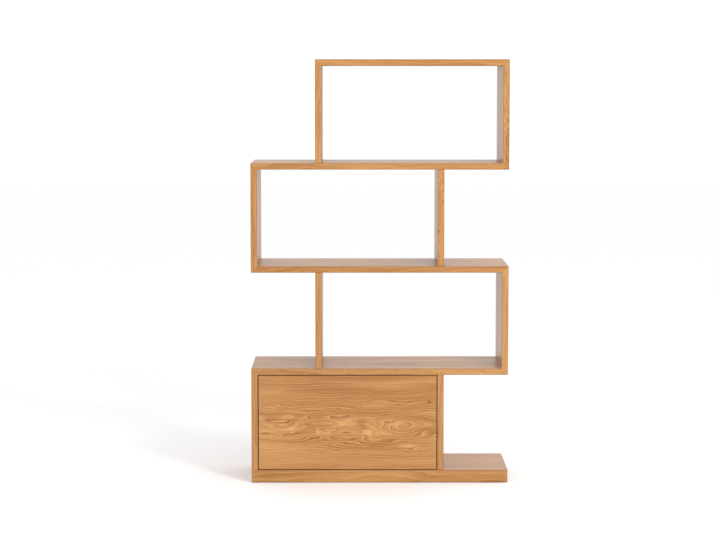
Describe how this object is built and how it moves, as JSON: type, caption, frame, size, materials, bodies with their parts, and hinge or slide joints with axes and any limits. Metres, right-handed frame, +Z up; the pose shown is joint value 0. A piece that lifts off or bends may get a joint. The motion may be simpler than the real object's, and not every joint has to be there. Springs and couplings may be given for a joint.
{
  "type": "bookcase",
  "caption": "Tall open bookcase in oak: staggered box frames stacked left and right by turns on a broad base, with a drop-front cabinet in the lowest frame.",
  "frame": {"origin": "on the floor, under the middle of the base: half-way between its two ends and half-way between front and rear", "axes": "+Z up, +X to the right seen from the front, +Y to the rear; the flap faces -Y"},
  "size_m": [1, 0.34, 1.65],
  "materials": {
    "oak_veneer": "clear satin lacquer over oak veneer",
    "oak_solid": "clear satin lacquer over solid oak",
    "oak_plywood": "clear satin lacquer over oak plywood",
    "beech": "bare, fluted beech",
    "nylon": "natural nylon",
    "steel": "nickel-plated, brushed",
    "zinc_steel": "bright zinc",
    "nickel": "satin nickel on die-cast zinc",
    "chrome": "polished",
    "brass": "turned and knurled",
    "dark_plastic": "fine-grained brown plastic"
  },
  "bodies": {
    "carcass": {"base_board": "oak_veneer", "base_board_strips": "oak_solid", "lower_shelf": "oak_veneer", "lower_shelf_strips": "oak_solid", "middle_shelf": "oak_veneer", "middle_shelf_strips": "oak_solid", "upper_shelf": "oak_veneer", "upper_shelf_strips": "oak_solid", "top_board": "oak_veneer", "top_board_strips": "oak_solid", "cabinet_left_upright": "oak_veneer", "cabinet_left_upright_strips": "oak_solid", "cabinet_right_upright": "oak_veneer", "cabinet_right_upright_strips": "oak_solid", "lower_left_upright": "oak_veneer", "lower_left_upright_strips": "oak_solid", "lower_right_upright": "oak_veneer", "lower_right_upright_strips": "oak_solid", "middle_left_upright": "oak_veneer", "middle_left_upright_strips": "oak_solid", "middle_right_upright": "oak_veneer", "middle_right_upright_strips": "oak_solid", "upper_left_upright": "oak_veneer", "upper_left_upright_strips": "oak_solid", "upper_right_upright": "oak_veneer", "upper_right_upright_strips": "oak_solid", "back_panel": "oak_plywood", "dowels": "beech", "corner_tongues": "beech", "glides": "nylon", "hinge_cabinet_leaf_left": "steel", "hinge_cabinet_leaf_right": "steel", "hinge_pins": "steel", "hinge_washers": "nylon", "cabinet_screws": "zinc_steel", "latch_housing": "dark_plastic", "stay_plate_left": "steel", "stay_plate_right": "steel"},
    "flap": {"flap_panel": "oak_veneer", "flap_side_strips": "oak_solid", "flap_end_strips": "oak_solid", "hinge_flap_leaf_left": "steel", "hinge_flap_leaf_right": "steel", "flap_screws": "zinc_steel", "stay_bracket_left": "steel", "stay_bracket_right": "steel", "stay_pivot_pin_left": "steel", "stay_pivot_pin_right": "steel", "latch_strike": "steel"},
    "rod_left": {"stay_rod_left": "chrome", "stay_collar_left": "nickel"},
    "guide_left": {"stay_guide_left": "nickel", "stay_brake_screw_left": "brass"},
    "rod_right": {"stay_rod_right": "chrome", "stay_collar_right": "nickel"},
    "guide_right": {"stay_guide_right": "nickel", "stay_brake_screw_right": "brass"},
    "plunger": {"latch_plunger": "dark_plastic"}
  },
  "joints": [
    {"name": "flap_hinge", "type": "hinge", "parent": "carcass", "child": "flap", "pos_m": [-0.125, -0.164, 0.0585], "axis": [1, 0, 0], "range_deg": [0, 90]},
    {"name": "rod_pivot_left", "type": "hinge", "parent": "flap", "child": "rod_left", "pos_m": [-0.4645, -0.138, 0.21637], "axis": [1, 0, 0], "range_deg": [-45, 0]},
    {"name": "guide_pivot_left", "type": "hinge", "parent": "carcass", "child": "guide_left", "pos_m": [-0.4645, -0.08888, 0.19977], "axis": [1, 0, 0], "range_deg": [0, 45]},
    {"name": "rod_pivot_right", "type": "hinge", "parent": "flap", "child": "rod_right", "pos_m": [0.2145, -0.138, 0.21637], "axis": [1, 0, 0], "range_deg": [-45, 0]},
    {"name": "guide_pivot_right", "type": "hinge", "parent": "carcass", "child": "guide_right", "pos_m": [0.2145, -0.08888, 0.19977], "axis": [1, 0, 0], "range_deg": [0, 45]},
    {"name": "plunger_slide", "type": "slide", "parent": "carcass", "child": "plunger", "axis": [0, 1, 0], "range_m": [0, 0.003], "stiffness_N_per_m": 300, "springref_m": -0.01}
  ],
  "couplings": [
    {"joint": "rod_pivot_left", "follows": "flap_hinge", "ratio": -0.5},
    {"joint": "guide_pivot_left", "follows": "flap_hinge", "ratio": 0.5},
    {"joint": "rod_pivot_right", "follows": "flap_hinge", "ratio": -0.5},
    {"joint": "guide_pivot_right", "follows": "flap_hinge", "ratio": 0.5}
  ]
}
